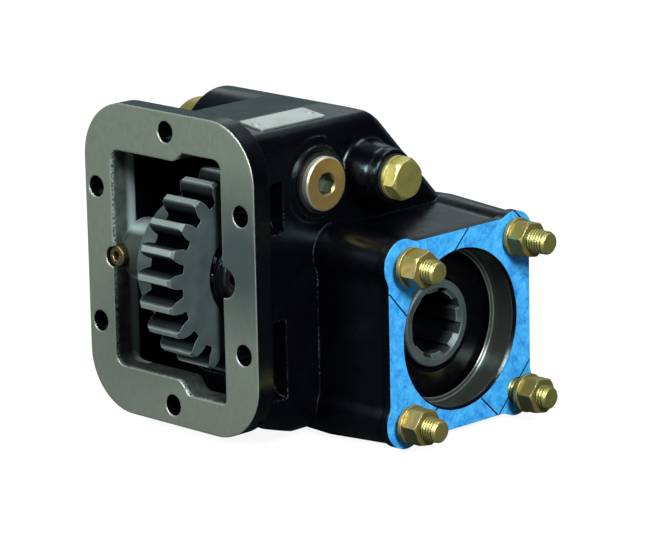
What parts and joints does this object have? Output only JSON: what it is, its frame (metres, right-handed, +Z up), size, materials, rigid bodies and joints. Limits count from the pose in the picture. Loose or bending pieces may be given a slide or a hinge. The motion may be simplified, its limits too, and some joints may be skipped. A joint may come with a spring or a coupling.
{
  "type": "power take off unit",
  "caption": "Side-mounted power take off housing with an idler gear in its window, an air-shifted output gear and a square splined pump flange with studs.",
  "frame": {"origin": "centre of the six mounting holes on the flat mounting face", "axes": "+X along the output shaft towards the pump flange, +Y from the mounting face into the housing, +Z up"},
  "size_m": [0.1961, 0.186, 0.1681],
  "materials": {
    "painted_casting": "gloss black paint on a cast surface",
    "gear_steel": "satin case-hardened steel",
    "machined_steel": "turned steel",
    "bearing_steel": "ground bearing steel",
    "dark_steel": "black oxide",
    "yellow_zinc": "yellow passivated zinc plating",
    "soft_washer": "black bonded seal",
    "seal_rubber": "matt black",
    "gasket_fibre": "mottled sky blue fibre sheet",
    "plate_aluminium": "bare satin sheet"
  },
  "bodies": {
    "housing": {"housing": "painted_casting", "idler_shaft": "machined_steel", "idler_spacer": "machined_steel", "left_end_spacer": "machined_steel", "right_end_spacer": "machined_steel", "core_plug": "yellow_zinc", "left_lock_screw": "yellow_zinc", "right_lock_screw": "dark_steel", "left_idler_bearing_cone": "bearing_steel", "right_idler_bearing_cone": "bearing_steel", "front_bearing_outer_ring": "bearing_steel", "rear_bearing_outer_ring": "bearing_steel", "retaining_ring": "machined_steel", "shaft_seal": "seal_rubber", "rear_bearing_cover": "painted_casting", "cover_screws": "yellow_zinc", "shift_cylinder_cap": "yellow_zinc", "cap_seal": "soft_washer", "return_spring": "machined_steel", "socket_plug": "yellow_zinc", "socket_plug_washer": "soft_washer", "hex_plug": "yellow_zinc", "hex_plug_washer": "soft_washer", "gasket": "gasket_fibre", "upper_left_stud": "yellow_zinc", "upper_left_washer": "yellow_zinc", "upper_left_nut": "yellow_zinc", "upper_right_stud": "yellow_zinc", "upper_right_washer": "yellow_zinc", "upper_right_nut": "yellow_zinc", "lower_left_stud": "yellow_zinc", "lower_left_washer": "yellow_zinc", "lower_left_nut": "yellow_zinc", "lower_right_stud": "yellow_zinc", "lower_right_washer": "yellow_zinc", "lower_right_nut": "yellow_zinc", "name_plate": "plate_aluminium", "plate_rivets": "plate_aluminium"},
    "output": {"output_shaft": "gear_steel", "front_bearing_inner_ring": "bearing_steel", "rear_bearing_inner_ring": "bearing_steel"},
    "idler": {"idler_gear": "gear_steel", "left_idler_bearing_cup": "bearing_steel", "right_idler_bearing_cup": "bearing_steel"},
    "idler_rollers": {"left_idler_bearing_rollers": "bearing_steel", "left_idler_bearing_cage": "bearing_steel", "right_idler_bearing_rollers": "bearing_steel", "right_idler_bearing_cage": "bearing_steel"},
    "front_rollers": {"front_bearing_rollers": "bearing_steel"},
    "rear_rollers": {"rear_bearing_rollers": "bearing_steel"},
    "shifter": {"shift_rod": "machined_steel", "shift_piston": "machined_steel", "piston_ring": "seal_rubber", "rod_guide": "machined_steel", "shift_fork": "machined_steel"},
    "slider": {"sliding_gear": "gear_steel"}
  },
  "joints": [
    {"name": "output_spin", "type": "hinge", "parent": "housing", "child": "output", "pos_m": [0, 0.10208, -0.03329], "axis": [1, 0, 0], "continuous": true},
    {"name": "idler_spin", "type": "hinge", "parent": "housing", "child": "idler", "pos_m": [0, 0.0217, 0], "axis": [1, 0, 0], "continuous": true},
    {"name": "idler_rollers_spin", "type": "hinge", "parent": "housing", "child": "idler_rollers", "pos_m": [0, 0.0217, 0], "axis": [1, 0, 0], "continuous": true},
    {"name": "front_rollers_spin", "type": "hinge", "parent": "housing", "child": "front_rollers", "pos_m": [0, 0.10208, -0.03329], "axis": [1, 0, 0], "continuous": true},
    {"name": "rear_rollers_spin", "type": "hinge", "parent": "housing", "child": "rear_rollers", "pos_m": [0, 0.10208, -0.03329], "axis": [1, 0, 0], "continuous": true},
    {"name": "shift_slide", "type": "slide", "parent": "housing", "child": "shifter", "axis": [1, 0, 0], "range_m": [0, 0.024]},
    {"name": "gear_slide", "type": "slide", "parent": "output", "child": "slider", "axis": [1, 0, 0], "range_m": [0, 0.024]}
  ],
  "couplings": [
    {"joint": "idler_spin", "follows": "output_spin", "ratio": -0.86364},
    {"joint": "idler_rollers_spin", "follows": "output_spin", "ratio": -0.48796},
    {"joint": "front_rollers_spin", "follows": "output_spin", "ratio": 0.44},
    {"joint": "rear_rollers_spin", "follows": "output_spin", "ratio": 0.4165},
    {"joint": "gear_slide", "follows": "shift_slide", "ratio": 1}
  ]
}
